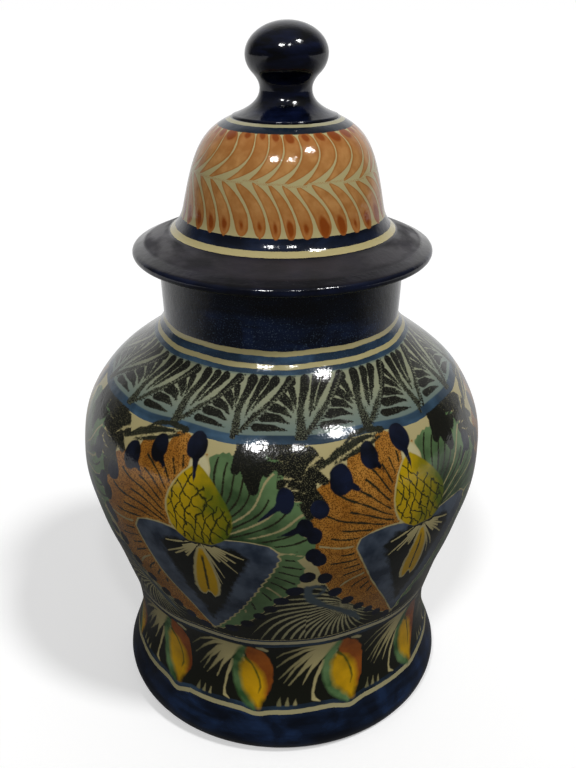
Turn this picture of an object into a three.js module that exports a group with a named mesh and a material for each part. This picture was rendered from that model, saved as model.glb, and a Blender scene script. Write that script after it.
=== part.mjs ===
// A thrown and painted earthenware jar with a loose lid.
// Millimetres and degrees, +Z up. The origin is the centre of the ring that the jar stands on.
import * as THREE from 'three';

// The jar, outside
const restRadius = 79;
const footRadius = 86.6;
const footHeight = 10.5;
const footTuck = 2.6;
const waistRadius = 78.6;
const waistHeight = 44.8;
const bellyRadius = 101.1;
const bellyHeight = 139.9;
const shoulderRadius = 66.7;
const shoulderHeight = 196;
const shoulderPitch = 39.2;
const neckRadius = 57.4;
const neckHeight = 209.5;
const rimRadius = 58.4;
const rimHeight = 237.1;

// How far the wall's curves keep their direction at each place where it turns
const footSweep = 4.3;
const waistSweepBelow = 17.7;
const waistSweepAbove = 28.3;
const bellySweepBelow = 28.7;
const bellySweepAbove = 37.1;
const shoulderSweep = 13.2;

// The jar's clay
const bodyWall = 6.5;
const neckWall = 5.5;
const rimRound = 1.8;
const floorHeight = 9.5;
const floorRadius = 66;
const floorCorner = 9;
const ringWidth = 8.5;
const ringDepth = 3.5;
const ringTaper = 2;

// The lid, with heights above its seat on the jar's rim
const seatClearance = 0.3;
const collarClearance = 1;
const collarWall = 4.6;
const collarDepth = 11;
const collarRound = 1.6;
const brimRadius = 71;
const brimEdge = 2.4;
const brimPitch = 23.5;
const domeRadius = 46.8;
const domeHeight = 22.6;
const domeLean = 11.3;
const domeWall = 5;
const domeCorner = 7;
const domeSweep = 24.1;
const crownRadius = 24.5;
const crownHeight = 62.4;
const crownPitch = 23;
const crownSweep = 15.9;
const crownWall = 5;
const crownSweepInside = 29;

// The knob, with heights above the crown that it is luted to
const knobMargin = 0.5;
const knobFootEdge = 0.6;
const knobNeckRadius = 11.8;
const knobNeckHeight = 11.9;
const knobTuck = 5;
const ballRadius = 18.5;
const ballHalfHeight = 13.8;
const ballHeight = 26.4;
const ballStart = -37;

// Facets round each turned piece
const vesselSides = 56;
const knobSides = 36;

// Points closer than this are one point of an outline
const samePoint = 0.01;

// Directions along an outline, from the axis outwards
const upwards = 90;
const inwards = 180;

// A point of an outline: distance from the axis, and height
function at(radius, height) {
  return new THREE.Vector2(radius, height);
}

// The point a given way from another, in a given direction
function reach(point, direction, length) {
  const turn = THREE.MathUtils.degToRad(direction);
  return at(point.x + length * Math.cos(turn), point.y + length * Math.sin(turn));
}

// Where the straight lines through two points, each in its direction, meet
function meeting(first, firstDirection, second, secondDirection) {
  const along = reach(at(0, 0), firstDirection, 1);
  const across = reach(at(0, 0), secondDirection, 1);
  const apart = second.clone().sub(first);
  return reach(first, firstDirection, apart.cross(across) / along.cross(across));
}

function line(from, to) {
  return new THREE.LineCurve(from, to);
}

function bend(from, corner, to) {
  return new THREE.QuadraticBezierCurve(from, corner, to);
}

function sweep(from, fromHandle, toHandle, to) {
  return new THREE.CubicBezierCurve(from, fromHandle, toHandle, to);
}

// An arc that turns to the left, about a centre, between two directions
function arc(centre, halfWidth, halfHeight, from, to) {
  const start = THREE.MathUtils.degToRad(from);
  const end = THREE.MathUtils.degToRad(to);
  return new THREE.EllipseCurve(centre.x, centre.y, halfWidth, halfHeight, start, end);
}

// One outline from stretches, each a list of points; a shared end is kept once
function outline(...stretches) {
  const points = [];
  for (const point of stretches.flat()) {
    const last = points.at(-1);
    if (last === undefined || last.distanceTo(point) > samePoint) {
      points.push(point);
    }
  }
  return points;
}

// The inner side of a wall whose outer side climbs along a curve
function inside(curve, wall, steps) {
  const points = [];
  for (let step = 0; step <= steps; step += 1) {
    const point = curve.getPoint(step / steps);
    const tangent = curve.getTangent(step / steps);
    points.push(at(point.x - wall * tangent.y, point.y + wall * tangent.x));
  }
  return points;
}

// A turned piece: its outline is spun about the axis, which is then stood up along +Z
function turned(name, points, sides, finish) {
  const geometry = new THREE.LatheGeometry(points, sides);
  geometry.rotateX(Math.PI / 2);
  const mesh = new THREE.Mesh(geometry, new THREE.MeshStandardMaterial(finish));
  mesh.name = name;
  return mesh;
}

// The jar: one wall from the foot to the rim, a floor, and a ring to stand on
function jarBody() {
  const foot = at(footRadius, footHeight);
  const waist = at(waistRadius, waistHeight);
  const belly = at(bellyRadius, bellyHeight);
  const shoulder = at(shoulderRadius, shoulderHeight);
  const neck = at(neckRadius, neckHeight);
  const shoulderDirection = inwards - shoulderPitch;

  const undercut = bend(at(restRadius, 0), at(footRadius, footTuck), foot);
  const footToWaist = sweep(
    foot,
    reach(foot, upwards, footSweep),
    reach(waist, -upwards, waistSweepBelow),
    waist,
  );
  const waistToBelly = sweep(
    waist,
    reach(waist, upwards, waistSweepAbove),
    reach(belly, -upwards, bellySweepBelow),
    belly,
  );
  const bellyToShoulder = sweep(
    belly,
    reach(belly, upwards, bellySweepAbove),
    reach(shoulder, shoulderDirection, -shoulderSweep),
    shoulder,
  );
  const neckCorner = meeting(shoulder, shoulderDirection, neck, upwards);
  const shoulderToNeck = bend(shoulder, neckCorner, neck);
  const neckToRim = line(neck, at(rimRadius, rimHeight - rimRound));

  const outerRimCentre = at(rimRadius - rimRound, rimHeight - rimRound);
  const innerRimCentre = at(rimRadius - neckWall + rimRound, rimHeight - rimRound);
  const outerRim = arc(outerRimCentre, rimRound, rimRound, 0, upwards);
  const innerRim = arc(innerRimCentre, rimRound, rimRound, upwards, inwards);

  const innerWall = outline(
    inside(footToWaist, bodyWall, 6),
    inside(waistToBelly, bodyWall, 6),
    inside(bellyToShoulder, bodyWall, 6),
    inside(shoulderToNeck, neckWall, 3),
  ).filter((point) => point.y > floorHeight + floorCorner);
  const innerFoot = innerWall[0];
  const floorEdge = at(floorRadius, floorHeight);
  const floorBend = bend(innerFoot, at(innerFoot.x, floorHeight), floorEdge);

  const ringInner = restRadius - ringWidth;
  const underside = [
    at(0, ringDepth),
    at(ringInner - ringTaper, ringDepth),
    at(ringInner, 0),
  ];

  const points = outline(
    underside,
    undercut.getPoints(6),
    footToWaist.getPoints(6),
    waistToBelly.getPoints(9),
    bellyToShoulder.getPoints(9),
    shoulderToNeck.getPoints(4),
    neckToRim.getPoints(1),
    outerRim.getPoints(3),
    innerRim.getPoints(3),
    innerWall.reverse(),
    floorBend.getPoints(4),
    [at(0, floorHeight)],
  );
  return turned('jar_body', points, vesselSides, {
    color: 0x35402f,
    roughness: 0.18,
    metalness: 0,
  });
}

// The lid: a bell that runs down into a collar inside the neck, with a brim on the rim
function lidShell() {
  const collarOuter = neckRadius - neckWall - collarClearance;
  const collarInner = collarOuter - collarWall;
  const collarEdgeHeight = collarRound - collarDepth;
  const domeDirection = upwards + domeLean;
  const crownDirection = inwards - crownPitch;
  const brimDirection = inwards - brimPitch;

  // The bell's side, from its foot to the flat that carries the knob
  const domeFoot = at(domeRadius, domeHeight);
  const crown = at(crownRadius, crownHeight);
  const dome = sweep(
    domeFoot,
    reach(domeFoot, domeDirection, domeSweep),
    reach(crown, crownDirection, -crownSweep),
    crown,
  );

  // The brim: a round edge, a straight rise, and a bend into the bell
  const edgeCentre = at(brimRadius - brimEdge, brimEdge);
  const edge = arc(edgeCentre, brimEdge, brimEdge, -upwards, upwards - brimPitch);
  const brimCorner = meeting(edge.getPoint(1), brimDirection, domeFoot, domeDirection);
  const bendStart = reach(brimCorner, brimDirection, -domeCorner);
  const brimToDome = bend(bendStart, brimCorner, domeFoot);

  // Inside, from the crown down to the collar's lower edge
  const innerCrown = at(0, crownHeight - crownWall);
  const innerFoot = at(domeRadius - domeWall, domeHeight);
  const innerDome = sweep(
    innerCrown,
    reach(innerCrown, 0, crownSweepInside),
    reach(innerFoot, domeDirection, domeSweep),
    innerFoot,
  );
  const collarTop = at(collarInner, 0);
  const innerBend = bend(
    innerFoot,
    meeting(innerFoot, domeDirection, collarTop, upwards),
    collarTop,
  );
  const innerEdgeCentre = at(collarInner + collarRound, collarEdgeHeight);
  const outerEdgeCentre = at(collarOuter - collarRound, collarEdgeHeight);
  const innerEdge = arc(innerEdgeCentre, collarRound, collarRound, inwards, inwards + upwards);
  const outerEdge = arc(outerEdgeCentre, collarRound, collarRound, -upwards, 0);

  const points = outline(
    innerDome.getPoints(8),
    innerBend.getPoints(4),
    innerEdge.getPoints(2),
    outerEdge.getPoints(2),
    [at(collarOuter, 0)],
    edge.getPoints(7),
    brimToDome.getPoints(4),
    dome.getPoints(9),
    [at(0, crownHeight)],
  );
  return turned('lid_shell', points, vesselSides, {
    color: 0xb07a4a,
    roughness: 0.18,
    metalness: 0,
  });
}

// The knob: a flared foot on the crown, a narrow neck and a flattened ball
function lidKnob() {
  const footRim = crownRadius - knobMargin;
  const footTop = at(footRim, crownHeight + knobFootEdge);
  const neck = at(knobNeckRadius, crownHeight + knobNeckHeight);
  const flare = bend(footTop, at(knobNeckRadius, crownHeight + knobTuck), neck);

  // The ball starts where its side runs on from the neck's flare
  const ball = arc(at(0, crownHeight + ballHeight), ballRadius, ballHalfHeight, ballStart, upwards);
  const ballFoot = ball.getPoint(0);
  const ballTangent = ball.getTangent(0);
  const ballDirection = THREE.MathUtils.radToDeg(ballTangent.angle());
  const ballCorner = meeting(ballFoot, ballDirection, neck, upwards);
  const neckToBall = bend(neck, ballCorner, ballFoot);
  const ballSide = ball.getPoints(9).slice(0, -1);

  const points = outline(
    [at(0, crownHeight), at(footRim, crownHeight)],
    flare.getPoints(5),
    neckToBall.getPoints(3),
    ballSide,
    [at(0, crownHeight + ballHeight + ballHalfHeight)],
  );
  return turned('lid_knob', points, knobSides, {
    color: 0x12182a,
    roughness: 0.12,
    metalness: 0,
  });
}

const lid = new THREE.Group();
lid.position.z = rimHeight + seatClearance;
lid.add(lidShell(), lidKnob());

const group = new THREE.Group();
group.add(jarBody(), lid);

export default group;
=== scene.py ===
import math

import bpy
import numpy as np
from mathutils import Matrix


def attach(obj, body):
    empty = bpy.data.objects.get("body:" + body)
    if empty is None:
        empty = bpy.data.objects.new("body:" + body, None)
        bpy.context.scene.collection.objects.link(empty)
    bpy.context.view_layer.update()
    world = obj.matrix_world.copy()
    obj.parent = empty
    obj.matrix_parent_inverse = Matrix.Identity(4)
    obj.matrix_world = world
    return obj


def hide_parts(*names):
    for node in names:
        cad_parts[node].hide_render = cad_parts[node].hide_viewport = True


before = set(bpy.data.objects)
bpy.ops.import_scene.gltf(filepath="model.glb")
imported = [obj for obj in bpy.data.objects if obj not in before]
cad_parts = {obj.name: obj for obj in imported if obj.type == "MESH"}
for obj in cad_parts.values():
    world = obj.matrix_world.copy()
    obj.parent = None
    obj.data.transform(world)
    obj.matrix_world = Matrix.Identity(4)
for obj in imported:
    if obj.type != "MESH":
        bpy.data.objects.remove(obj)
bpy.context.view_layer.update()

MM = 0.001

# Camera, from the fit of the painted rings and the outline
LENS = 42.19
SENSOR = 36.0
CAMERA_BACK = 418.2
CAMERA_UP = 361.5
CAMERA_RIGHT = 3.3
CAMERA_DOWN = 25.0

# The jar's outline, as the solids have it; a sweep is how far the wall keeps its direction
REST = 79.0
FOOT = (86.6, 10.5)
FOOT_TUCK = 2.6
FOOT_SWEEP = 4.3
WAIST = (78.6, 44.8)
WAIST_SWEEP_BELOW = 17.7
WAIST_SWEEP_ABOVE = 28.3
BELLY = (101.1, 139.9)
BELLY_SWEEP_BELOW = 28.7
BELLY_SWEEP_ABOVE = 37.1
SHOULDER = (66.7, 196.0)
SHOULDER_PITCH = 39.2
SHOULDER_SWEEP = 13.2
NECK = (57.4, 209.5)
RIM = (58.4, 237.1)
RIM_ROUND = 1.8
BODY_WALL = 6.5
NECK_WALL = 5.5
WALL_THINS = (185, 215)
FLOOR = 9.5
FLOOR_RADIUS = 66.0
FLOOR_CORNER = 9.0
RING_WIDTH = 8.5
RING_DEPTH = 3.5

# The lid's and the knob's outlines; heights above the lid's seat, then above its crown
SEAT = 237.4
COLLAR_OUTER = 50.9
COLLAR_INNER = 46.3
COLLAR_DEPTH = 11.0
COLLAR_ROUND = 1.6
BRIM = 71.0
BRIM_EDGE = 2.4
BRIM_PITCH = 23.5
DOME = (46.8, 22.6)
DOME_LEAN = 11.3
DOME_WALL = 5.0
DOME_CORNER = 7.0
DOME_SWEEP = 24.1
CROWN = (24.5, 62.4)
CROWN_PITCH = 23.0
CROWN_SWEEP = 15.9
CROWN_WALL = 5.0
CROWN_SWEEP_INSIDE = 29.0
KNOB_RIM = 24.0
KNOB_EDGE = 0.6
KNOB_NECK = (11.8, 11.9)
KNOB_TUCK = 5.0
BALL = (18.5, 13.8)
BALL_HEIGHT = 26.4
BALL_START = -37.0

# The lid sits a little to one side and leans, as a hand-thrown lid does
LID_SHIFT = 0.6
LID_LEAN = 0.024

# Facets round each piece, and the rows up them: stretches of climb on the jar's outside, each with its
# step, finest where the frieze is, and the steps of plain and of curved walls
JAR_SIDES = 420
LID_SIDES = 360
KNOB_SIDES = 160
JAR_ROWS = ((0, 27, 2.25), (27, 192, 1.25), (192, 236, 1.4))
JAR_NECK_ROW = 4.0
JAR_INSIDE_ROW = 12.0
LID_INSIDE_ROW = 4.0
LID_OUTSIDE_ROW = 0.9
SAME_POINT = 0.004

# The painting, in climb up the wall from the resting edge, and in degrees round it; a scale is how many
# millimetres of wall a degree spans
FRIEZE = (74, 196)
FLOWERS = 6
FLOWER_TURN = -20.4
FLOWER_LEFT = 32.0
FLOWER_ROOT = 143.0
FLOWER_SCALE = 1.6
RAY_PITCH = 7
PLUME_ROOT = (62, -45)
PLUME_PITCH = 9
PALMETTES = 18
PALMETTE_TURN = 5.6
PALMETTE_ROOT = 194.5
PALMETTE_BORDER = -16.6
PALMETTE_SLANT = 0.6
PALMETTE_SCALE = 1.28
BUDS = 11
BUD_TURN = -10.6
BUD_MIDDLE = 50.0
BUD_SCALE = 1.45
BUD_SHARE = 0.74
DIP_TOP = 45

# The lid's garland, in climb up from the brim's edge. One row's strokes are counted from far above the
# other's, so that each stroke has a number of its own
MIDRIB = 49.2
GARLAND = (26.6, 71.9)
LOWER_STROKES = 38
UPPER_STROKES = 30
ROWS_APART = 200.2

FAR = 99.0
GLOSSY = 0.12

# How much of the pale background the glaze gives back
MIRRORED_SHARE = 0.72


def hex_colour(text):
    """sRGB hex to linear: the sRGB curve undone for each channel"""
    channels = [int(text[i:i + 2], 16) / 255 for i in (1, 3, 5)]
    linear = [c / 12.92 if c <= 0.04045 else ((c + 0.055) / 1.055) ** 2.4 for c in channels]
    return (*linear, 1.0)


def linked(name, data):
    """A new object, in the scene"""
    made = bpy.data.objects.new(name, data)
    bpy.context.scene.collection.objects.link(made)
    return made


def reach(point, direction, length):
    """The point a length away, in a direction measured from straight outwards"""
    turn = math.radians(direction)
    return (point[0] + length * math.cos(turn), point[1] + length * math.sin(turn))


def meeting(first, first_direction, second, second_direction):
    """Where the straight lines through two points meet: two linear equations solved"""
    along = reach((0, 0), first_direction, 1)
    across = reach((0, 0), second_direction, 1)
    matrix = np.array([[along[0], -across[0]], [along[1], -across[1]]])
    step = np.linalg.solve(matrix, np.subtract(second, first))[0]
    return reach(first, first_direction, step)


def curve(*points, count=40):
    """A Bezier curve: the control points weighted by Bernstein polynomials"""
    order = len(points) - 1
    t = np.linspace(0, 1, count)[:, None]
    parts = [
        math.comb(order, i) * t**i * (1 - t) ** (order - i) * np.array(point, float)
        for i, point in enumerate(points)
    ]
    return sum(parts)


def arc(centre, half_width, half_height, start, end, count=16):
    """An elliptical arc that turns to the left between two directions"""
    turn = np.radians(np.linspace(start, end, count))
    return np.c_[centre[0] + half_width * np.cos(turn), centre[1] + half_height * np.sin(turn)]


def joined(*stretches):
    """One outline from stretches of points, with repeated points left out"""
    points = np.concatenate([np.atleast_2d(s) for s in stretches])
    step = np.hypot(*np.diff(points, axis=0).T)
    return points[np.r_[True, step > SAME_POINT]]


def climb_of(points, start=0):
    """Length along an outline, counted from one of its points"""
    length = np.r_[0, np.cumsum(np.hypot(*np.diff(points, axis=0).T))]
    return length - length[start]


def places_at(points, lengths):
    """The places on an outline at given lengths along it"""
    length = climb_of(points)
    return np.c_[np.interp(lengths, length, points[:, 0]), np.interp(lengths, length, points[:, 1])]


def resampled(points, spacing):
    """The outline at even steps of about the spacing, both ends kept"""
    total = climb_of(points)[-1]
    steps = max(1, int(round(total / spacing)))
    return places_at(points, np.linspace(0, total, steps + 1))


def inner_side(points, wall):
    """A wall's inner side: each point moved square to the outline by the wall's thickness"""
    slope = np.gradient(points, axis=0)
    slope /= np.hypot(*slope.T)[:, None]
    return points + np.c_[-slope[:, 1], slope[:, 0]] * np.reshape(wall, (-1, 1))


def jar_outline():
    """The jar's outline from the middle of its underside, up outside, over the rim and down inside,
    and where along it the outside starts and ends"""
    up, shoulder_way = 90, 180 - SHOULDER_PITCH
    waist_below, waist_above = reach(WAIST, -up, WAIST_SWEEP_BELOW), reach(WAIST, up, WAIST_SWEEP_ABOVE)
    belly_below, belly_above = reach(BELLY, -up, BELLY_SWEEP_BELOW), reach(BELLY, up, BELLY_SWEEP_ABOVE)
    low = RIM[1] - RIM_ROUND
    wall = joined(
        curve(FOOT, reach(FOOT, up, FOOT_SWEEP), waist_below, WAIST),
        curve(WAIST, waist_above, belly_below, BELLY),
        curve(BELLY, belly_above, reach(SHOULDER, shoulder_way, -SHOULDER_SWEEP), SHOULDER),
        curve(SHOULDER, meeting(SHOULDER, shoulder_way, NECK, up), NECK),
        curve(NECK, (RIM[0], low)),
    )
    outside = joined(curve((REST, 0), (FOOT[0], FOOT_TUCK), FOOT), wall)
    total = climb_of(outside)[-1]
    steps = [np.arange(*stretch) for stretch in JAR_ROWS]
    steps += [np.arange(JAR_ROWS[-1][1], total - 2, JAR_NECK_ROW), [total]]
    outside = places_at(outside, np.concatenate(steps))
    rim = joined(
        arc((RIM[0] - RIM_ROUND, low), RIM_ROUND, RIM_ROUND, 0, 90, 5)[1:],
        arc((RIM[0] - NECK_WALL + RIM_ROUND, low), RIM_ROUND, RIM_ROUND, 90, 180, 5),
    )
    inner = inner_side(wall, np.interp(wall[:, 1], WALL_THINS, [BODY_WALL, NECK_WALL]))
    inner = inner[inner[:, 1] > FLOOR + FLOOR_CORNER]
    bottom = curve(inner[0], (inner[0][0], FLOOR), (FLOOR_RADIUS, FLOOR), count=8)
    inside = joined(resampled(inner, JAR_INSIDE_ROW)[::-1], bottom[1:], (38, FLOOR), (0, FLOOR))
    ring = REST - RING_WIDTH
    underside = joined(
        (0, RING_DEPTH), (30, RING_DEPTH), (ring - 2.6, RING_DEPTH),
        curve((ring - 2, RING_DEPTH), (ring - 0.6, RING_DEPTH - 0.3), (ring, 0.4), count=4),
        (ring + 0.5, 0), (REST - 4, 0), (REST - 0.8, 0),
    )
    points = joined(underside, outside, rim, inside)
    return points, len(underside), len(underside) + len(outside) - 1


def lid_outline():
    """The lid's outline from the middle of its inner crown, down inside, round the collar and brim,
    and up outside to its crown, and where along it the brim's upper side starts"""
    dome_way, crown_way, brim_way = 90 + DOME_LEAN, 180 - CROWN_PITCH, 180 - BRIM_PITCH
    crown_handle = reach(CROWN, crown_way, -CROWN_SWEEP)
    dome = curve(DOME, reach(DOME, dome_way, DOME_SWEEP), crown_handle, CROWN)
    edge = arc((BRIM - BRIM_EDGE, BRIM_EDGE), BRIM_EDGE, BRIM_EDGE, -90, 90 - BRIM_PITCH, 9)
    corner = meeting(edge[-1], brim_way, DOME, dome_way)
    bend_start = reach(corner, brim_way, -DOME_CORNER)
    upper = joined(curve(edge[-1], bend_start), curve(bend_start, corner, DOME), dome)
    inner_crown = (0, CROWN[1] - CROWN_WALL)
    inner_foot = (DOME[0] - DOME_WALL, DOME[1])
    collar_top = (COLLAR_INNER, 0)
    crown_handle = reach(inner_crown, 0, CROWN_SWEEP_INSIDE)
    inner = joined(
        curve(inner_crown, crown_handle, reach(inner_foot, dome_way, DOME_SWEEP), inner_foot),
        curve(inner_foot, meeting(inner_foot, dome_way, collar_top, 90), collar_top),
    )
    low = COLLAR_ROUND - COLLAR_DEPTH
    collar = joined(
        (COLLAR_INNER, -4),
        arc((COLLAR_INNER + COLLAR_ROUND, low), COLLAR_ROUND, COLLAR_ROUND, 180, 270, 5),
        arc((COLLAR_OUTER - COLLAR_ROUND, low), COLLAR_ROUND, COLLAR_ROUND, -90, 0, 5),
        (COLLAR_OUTER, -4), (COLLAR_OUTER, 0), (56, 0), (62, 0),
    )
    outer = joined(resampled(upper, LID_OUTSIDE_ROW)[1:], (12, CROWN[1]), (0, CROWN[1]))
    points = joined(resampled(inner, LID_INSIDE_ROW), collar, edge, outer)
    start = int(np.argmin(np.hypot(*(points - edge[-1]).T)))
    return points + (0, SEAT), start


def knob_outline():
    """The knob's outline: a flared foot, a narrow neck and a flattened ball"""
    foot = (KNOB_RIM, KNOB_EDGE)
    flare = curve(foot, (KNOB_NECK[0], KNOB_TUCK), KNOB_NECK, count=22)
    ball = arc((0, BALL_HEIGHT), BALL[0], BALL[1], BALL_START, 90, 42)
    way = math.degrees(math.atan2(*(ball[1] - ball[0])[::-1]))
    neck = curve(KNOB_NECK, meeting(ball[0], way, KNOB_NECK, 90), ball[0], count=10)
    top = (0, BALL_HEIGHT + BALL[1])
    points = joined((0, 0), (12, 0), (KNOB_RIM, 0), flare, neck, ball[:-1], top)
    return points + (0, SEAT + CROWN[1])


def spun(name, points, climb, sides, hand=None, lean=0.0, shift=0.0):
    """A turned surface: the outline spun about the axis, with a pole at each end. A point is
    (r sin a, -r cos a, z) for the azimuth a from the front; hand(a, climb) is taken off r.
    Returns the object with each face corner's azimuth and climb, and the azimuth of its face's middle."""
    edges = np.linspace(-180, 180, sides + 1)
    rows, row_climb = points[1:-1], climb[1:-1]
    azimuth = np.radians(edges[:-1])[None, :]
    radius = rows[:, :1] * np.ones((1, sides))
    if hand is not None:
        radius = radius - hand(azimuth, row_climb[:, None])
    height = rows[:, 1:] * np.ones((1, sides))
    x = radius * np.sin(azimuth) + shift + lean * (height - SEAT)
    y = -radius * np.cos(azimuth)
    grid = np.stack([x, y, height], axis=-1).reshape(-1, 3)
    poles = [(shift + lean * (z - SEAT), 0, z) for z in points[[0, -1], 1]]
    vertices = np.concatenate([grid, poles]) * MM

    belts = len(rows) - 1
    ring = np.arange(sides)
    after = (ring + 1) % sides
    row = np.arange(belts)[:, None] * sides
    quads = np.stack([row + ring, row + after, row + sides + after, row + sides + ring], axis=-1)
    last = belts * sides
    pole = np.full(sides, len(grid))
    lower = np.c_[pole, after, ring]
    upper = np.c_[last + ring, last + after, pole + 1]
    mesh = bpy.data.meshes.new(name)
    mesh.from_pydata(vertices.tolist(), [], quads.reshape(-1, 4).tolist() + lower.tolist() + upper.tolist())
    mesh.polygons.foreach_set("use_smooth", np.ones(len(mesh.polygons), bool))

    left, right = edges[:-1], edges[1:]
    middle = (left + right) / 2
    turn = np.concatenate([
        np.tile(np.c_[left, right, right, left].reshape(-1), belts),
        np.c_[middle, right, left].reshape(-1),
        np.c_[left, right, middle].reshape(-1),
    ])
    low, high = row_climb[:-1], row_climb[1:]
    up = np.concatenate([
        np.repeat(np.c_[low, low, high, high], sides, axis=0).reshape(-1),
        np.tile([climb[0], low[0], low[0]], sides),
        np.tile([high[-1], high[-1], climb[-1]], sides),
    ])
    face_turn = np.concatenate([np.tile(np.repeat(middle, 4), belts), np.tile(np.repeat(middle, 3), 2)])
    return linked(name, mesh), turn, up, face_turn


def keep(piece, name, *values):
    """Writes up to three values for each face corner as one vector attribute"""
    filled = [np.broadcast_to(v, values[0].shape) for v in values]
    filled += [np.zeros(values[0].shape)] * (3 - len(filled))
    layer = piece.data.attributes.new(name, "FLOAT_VECTOR", "CORNER")
    layer.data.foreach_set("vector", np.stack(filled, axis=-1).astype(np.float32).reshape(-1))


def keep_bake_map(piece, turn, climb, climbs, heights):
    """The bake's map: across is the azimuth, up is the climb, stretched so the outside gets most of it"""
    layer = piece.data.uv_layers.new(name="OFBake")
    spot = np.stack([(turn + 180) / 360, np.interp(climb, climbs, heights)], axis=-1)
    layer.data.foreach_set("uv", spot.astype(np.float32).reshape(-1))


# Distances on the painted ground, in millimetres, negative inside a shape


def oval(x, y, centre, half):
    """About the distance to an ellipse: how far out in its own measure, times its smaller half"""
    return (np.hypot((x - centre[0]) / half[0], (y - centre[1]) / half[1]) - 1) * min(half)


def brushed(x, y, points, widths):
    """Distance to a brush stroke: the nearest place on a chain of lines, less the width there"""
    best = np.full(np.shape(x), FAR)
    for (x0, y0), (x1, y1), w0, w1 in zip(points, points[1:], widths, widths[1:]):
        dx, dy = x1 - x0, y1 - y0
        t = np.clip(((x - x0) * dx + (y - y0) * dy) / (dx * dx + dy * dy), 0, 1)
        distance = np.hypot(x - x0 - t * dx, y - y0 - t * dy) - (w0 + t * (w1 - w0))
        best = np.minimum(best, distance)
    return best


def nearest(x, y, strokes):
    """Distance to the nearest of several brush strokes"""
    return np.minimum.reduce([brushed(x, y, points, widths) for points, widths in strokes])


def upright(x, y, heights, halves):
    """Distance to a shape that stands on the line x = 0, from its half-width at each height; its sides
    slope, so square to them it is 0.85 of the way across"""
    side = (np.abs(x) - np.interp(y, heights, halves)) * 0.85
    return np.maximum(side, np.maximum(heights[0] - y, y - heights[-1]))


def fanned(x, y, angles, radii):
    """Distance to a shape round the root, from its reach in each direction"""
    angle = np.degrees(np.arctan2(y, x))
    angle = np.where(angle < -90, angle + 360, angle)
    return np.hypot(x, y) - np.interp(angle, angles, radii)


# How far the flower's two fans reach: direction from the root, and length
RUST_ANGLES = (90, 97, 104, 110, 116, 124, 130, 136, 144, 150, 160, 172, 186, 200, 214, 228, 240, 252, 262, 270)
RUST_REACH = (40, 42, 48, 49, 44, 49, 51, 47, 52, 54, 52, 52, 51, 51, 53, 54, 55, 57, 61, 64)
LEAF_ANGLES = (
    -90, -80, -68, -56, -44, -34, -22, -14, -8, -3, 3, 9, 15, 22, 28, 34, 40, 47, 54, 61, 66, 72, 80, 90,
)
LEAF_REACH = (
    64, 58, 53, 48, 46, 45, 44, 43, 38, 46, 47, 43, 48, 50, 49, 42, 46, 53, 54, 49, 41, 45, 44, 40,
)

# The dots at the tips of the rays: direction from the root, distance, half-width and half-height
DOTS = (
    (98, 43, 4.6, 6.6), (121, 44, 4.2, 6.2), (140, 47.5, 4.6, 7.0), (158, 49, 3.9, 4.6), (173, 49.5, 3.7, 4.2),
    (188, 49, 3.7, 4.0), (203, 50.5, 3.6, 3.8), (217, 52, 3.7, 3.3), (229, 53, 3.6, 3.0), (240, 55, 3.4, 2.9),
    (249, 57, 3.2, 2.8), (257, 60, 3.2, 2.7), (265, 63.5, 3.6, 3.0), (34, 42.5, 4.2, 5.8), (14, 44, 3.9, 4.4),
    (-5, 45.5, 3.8, 3.9), (-22, 45.5, 3.8, 3.6), (-35, 45.5, 3.7, 3.3), (-46, 46.5, 3.4, 3.1),
    (-56, 49, 3.3, 3.0), (-65, 52, 3.2, 2.9), (-74, 56, 3.2, 2.8), (-82, 60, 3.2, 2.8),
)
# Tails of some dots: direction from the root, and where they start and end
DOT_TAILS = ((98, 39, 27), (34, 38, 27), (14, 40, 31), (140, 43, 36), (121, 40, 33))

# The flower's other parts: heights above the root, and half-widths there
BUD_HEIGHTS = (-1, 2, 6, 11, 16, 21, 26, 30, 33, 35)
BUD_HALVES = (5, 9.5, 12.4, 13.6, 13.4, 11.6, 8.8, 5.8, 3, 0)
CALYX_HEIGHTS = (-63, -58, -49, -39, -28, -18, -10, -4, 1, 5)
CALYX_HALVES = (0, 3.5, 9, 15.5, 21.5, 25.5, 28.5, 30.5, 29, 22)
CORE_HEIGHTS = (-55, -46, -36, -24, -14, -6, -1)
CORE_HALVES = (0, 3.4, 8, 12.5, 16.5, 19, 15)
STAMEN_HEIGHTS = (-36, -34, -30, -24, -16, -9, -4)
STAMEN_HALVES = (1.0, 3.4, 4.4, 4.7, 3.9, 2.3, 0.7)

# Brush strokes: the middles of a chain of places, and the half-widths there
LEAF_CUT = (((24, -1), (34, -1), (47, -6)), (0.9, 0.5, 0.3))
FINGERS = (
    (((20, 47), (20, 41), (20.6, 34.5), (21, 29)), (7.4, 7.0, 4.6, 2.6)),
    (((15, 42), (12.6, 36.4)), (3.4, 2.2)),
    (((25.4, 41), (27.6, 35.6)), (3.4, 2.0)),
    (((35, 48), (39, 41), (42.6, 33), (44.6, 24), (45.4, 16)), (8.0, 7.8, 6.2, 4.6, 2.2)),
    (((32, 44), (29.2, 37.4)), (3.6, 2.2)),
    (((36, 36), (33.6, 30)), (3.2, 1.9)),
    (((38, 27), (37.2, 21.6)), (2.6, 1.4)),
    (((46, 43), (51.4, 38.4)), (3.4, 1.9)),
    (((47, 35), (52.4, 30.4)), (2.8, 1.6)),
    (((47.4, 26), (51.4, 21.6)), (2.2, 1.2)),
)
SLITS = (
    (((29, 33.6), (36, 33.4), (43.6, 31)), (0.9, 0.6, 0.1)),
    (((32, 27), (38, 28.4), (44.4, 26)), (1.0, 0.6, 0.1)),
    (((34, 20), (39, 23.4), (44.6, 21.4)), (1.0, 0.6, 0.1)),
    (((27.6, 41.6), (33, 40), (38.6, 39.4)), (0.6, 0.5, 0.1)),
    (((50, 41), (46.6, 38.4), (44, 34)), (0.8, 0.4, 0.1)),
)
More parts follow.
